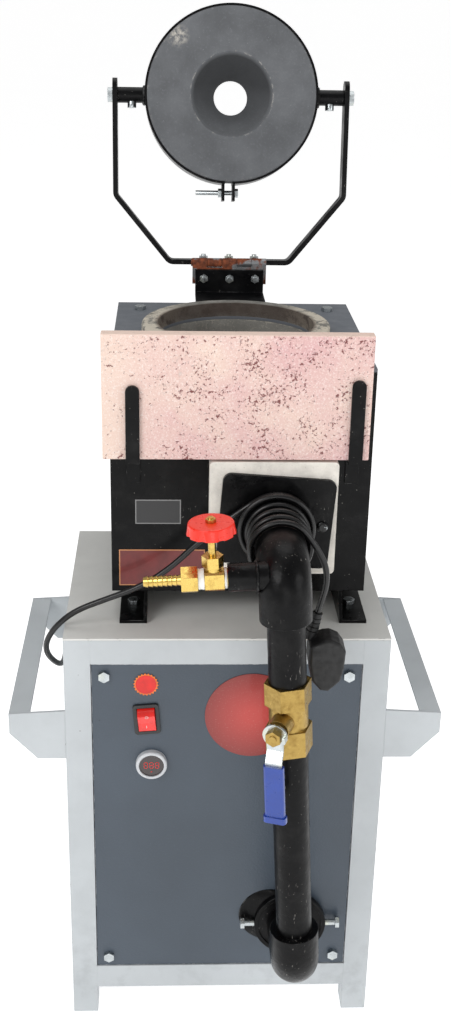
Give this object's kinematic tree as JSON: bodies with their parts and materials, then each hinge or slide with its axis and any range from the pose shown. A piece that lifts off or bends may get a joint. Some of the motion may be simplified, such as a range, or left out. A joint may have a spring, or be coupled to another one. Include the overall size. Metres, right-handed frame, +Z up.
{
  "type": "crucible melting furnace",
  "caption": "Gas and air crucible furnace on a blower cabinet, with a leaning burner line, ball valve, gas handwheel, wound mains cord and a round tilting lid on a hinged yoke.",
  "frame": {"origin": "centre of the cabinet's footprint, on the surface it stands on", "axes": "+Z up, +X to the right of someone facing the front panel, +Y towards the back"},
  "size_m": [0.411, 0.5285, 0.9791],
  "materials": {
    "cabinet_grey": "satin paint over fine texture",
    "top_grey": "satin paint, worn at the edges",
    "panel_slate": "fine orange peel",
    "inner_steel": "satin",
    "zinc": "zinc plated",
    "black_plastic": "gloss",
    "red_plastic": "gloss",
    "meter_white": "gloss",
    "meter_dark": "gloss",
    "label": "printed, semi gloss",
    "name_plate": "printed plate",
    "gland_black": "matte",
    "blower_black": "semi gloss",
    "motor_grey": "semi gloss",
    "pipe_black": "gloss paint over iron",
    "brass": "satin",
    "nickel": "nickel plated",
    "sleeve_blue": "dipped vinyl",
    "handwheel_red": "gloss paint",
    "furnace_black": "gloss",
    "plate_dark": "satin",
    "castable": "rough castable",
    "block_white": "rough board",
    "board_pink": "rough, speckled",
    "lid_grey": "matt castable",
    "graphite": "graphite",
    "hinge_rust": "rusted, silver where worn",
    "cord_black": "matt"
  },
  "bodies": {
    "base": {"cabinet_frame": "cabinet_grey", "cabinet_top": "top_grey", "cabinet_floor": "inner_steel", "front_panel": "panel_slate", "cabinet_panels": "cabinet_grey", "panel_bolts": "zinc", "carrying_handles": "cabinet_grey", "switch_body": "black_plastic", "meter_bezel": "meter_white", "meter_window": "meter_dark", "panel_labels": "label", "furnace_labels": "name_plate", "cord_gland": "gland_black", "blower_housing": "blower_black", "blower_motor": "motor_grey", "blower_bracket": "inner_steel", "outlet_adaptor": "pipe_black", "set_screws": "zinc", "lower_elbow": "pipe_black", "air_pipes": "pipe_black", "ball_valve_body": "brass", "top_elbow": "pipe_black", "burner_pipe": "pipe_black", "flange_plate": "furnace_black", "burner_block": "block_white", "gas_valve": "brass", "hose_barb": "brass", "furnace_shell": "furnace_black", "furnace_lining": "castable", "top_plate": "plate_dark", "collar_ring": "plate_dark", "angle_runners": "furnace_black", "furnace_bolts": "zinc", "board_hooks": "furnace_black", "hinge_bracket": "furnace_black", "hinge_lower_leaf": "hinge_rust", "hinge_pin": "hinge_rust", "bracket_bolts": "zinc", "cord_lead": "cord_black", "cord_winding": "cord_black", "cord_tail": "cord_black", "plug_body": "cord_black", "plug_pins": "brass"},
    "rocker": {"switch_rocker": "red_plastic"},
    "impeller": {"blower_impeller": "inner_steel"},
    "valve_lever": {"ball_valve_ball": "nickel", "ball_valve_stem": "brass", "ball_valve_lever": "zinc", "lever_sleeve": "sleeve_blue"},
    "spindle": {"gas_spindle": "brass"},
    "handwheel": {"gas_handwheel": "handwheel_red"},
    "yoke": {"yoke": "furnace_black", "hinge_upper_leaf": "hinge_rust", "yoke_bolts": "zinc"},
    "lid": {"lid_refractory": "lid_grey", "lid_band": "furnace_black", "lid_fasteners": "zinc"},
    "board": {"refractory_board": "board_pink"},
    "crucible": {"crucible": "graphite"}
  },
  "joints": [
    {"name": "lid_swing", "type": "hinge", "parent": "base", "child": "yoke", "pos_m": [0.009, 0.2065, 0.719], "axis": [1, 0, 0], "range_deg": [0, 102]},
    {"name": "lid_tilt", "type": "hinge", "parent": "yoke", "child": "lid", "pos_m": [0.009, 0.24243, 0.88687], "axis": [1, 0, 0], "range_deg": [-180, 0]},
    {"name": "handwheel_turn", "type": "hinge", "parent": "spindle", "child": "handwheel", "pos_m": [-0.01686, -0.2, 0.53743], "axis": [-0.0591, 0, 0.9983], "range_deg": [0, 1083]},
    {"name": "spindle_lift", "type": "slide", "parent": "base", "child": "spindle", "axis": [-0.0591, 0, 0.9983], "range_m": [0, 0.0045]},
    {"name": "valve_turn", "type": "hinge", "parent": "base", "child": "valve_lever", "pos_m": [0.05155, -0.2, 0.4055], "axis": [0.374, 0.9272, 0.0221], "range_deg": [0, 90]},
    {"name": "rocker_tilt", "type": "hinge", "parent": "base", "child": "rocker", "pos_m": [-0.0753, -0.123, 0.3542], "axis": [-0.9969, 0, -0.0785], "range_deg": [0, 30]},
    {"name": "impeller_spin", "type": "hinge", "parent": "base", "child": "impeller", "pos_m": [0.0483, 0.01, 0.172], "axis": [1, 0, 0], "continuous": true},
    {"name": "board_lift", "type": "slide", "parent": "base", "child": "board", "axis": [0, 0, 1], "range_m": [0, 0.078]},
    {"name": "crucible_lift", "type": "slide", "parent": "base", "child": "crucible", "axis": [0, 0, -1], "range_m": [-0.16, 0]}
  ],
  "couplings": [
    {"joint": "handwheel_turn", "follows": "spindle_lift", "rad_per_m": 4188.8}
  ]
}
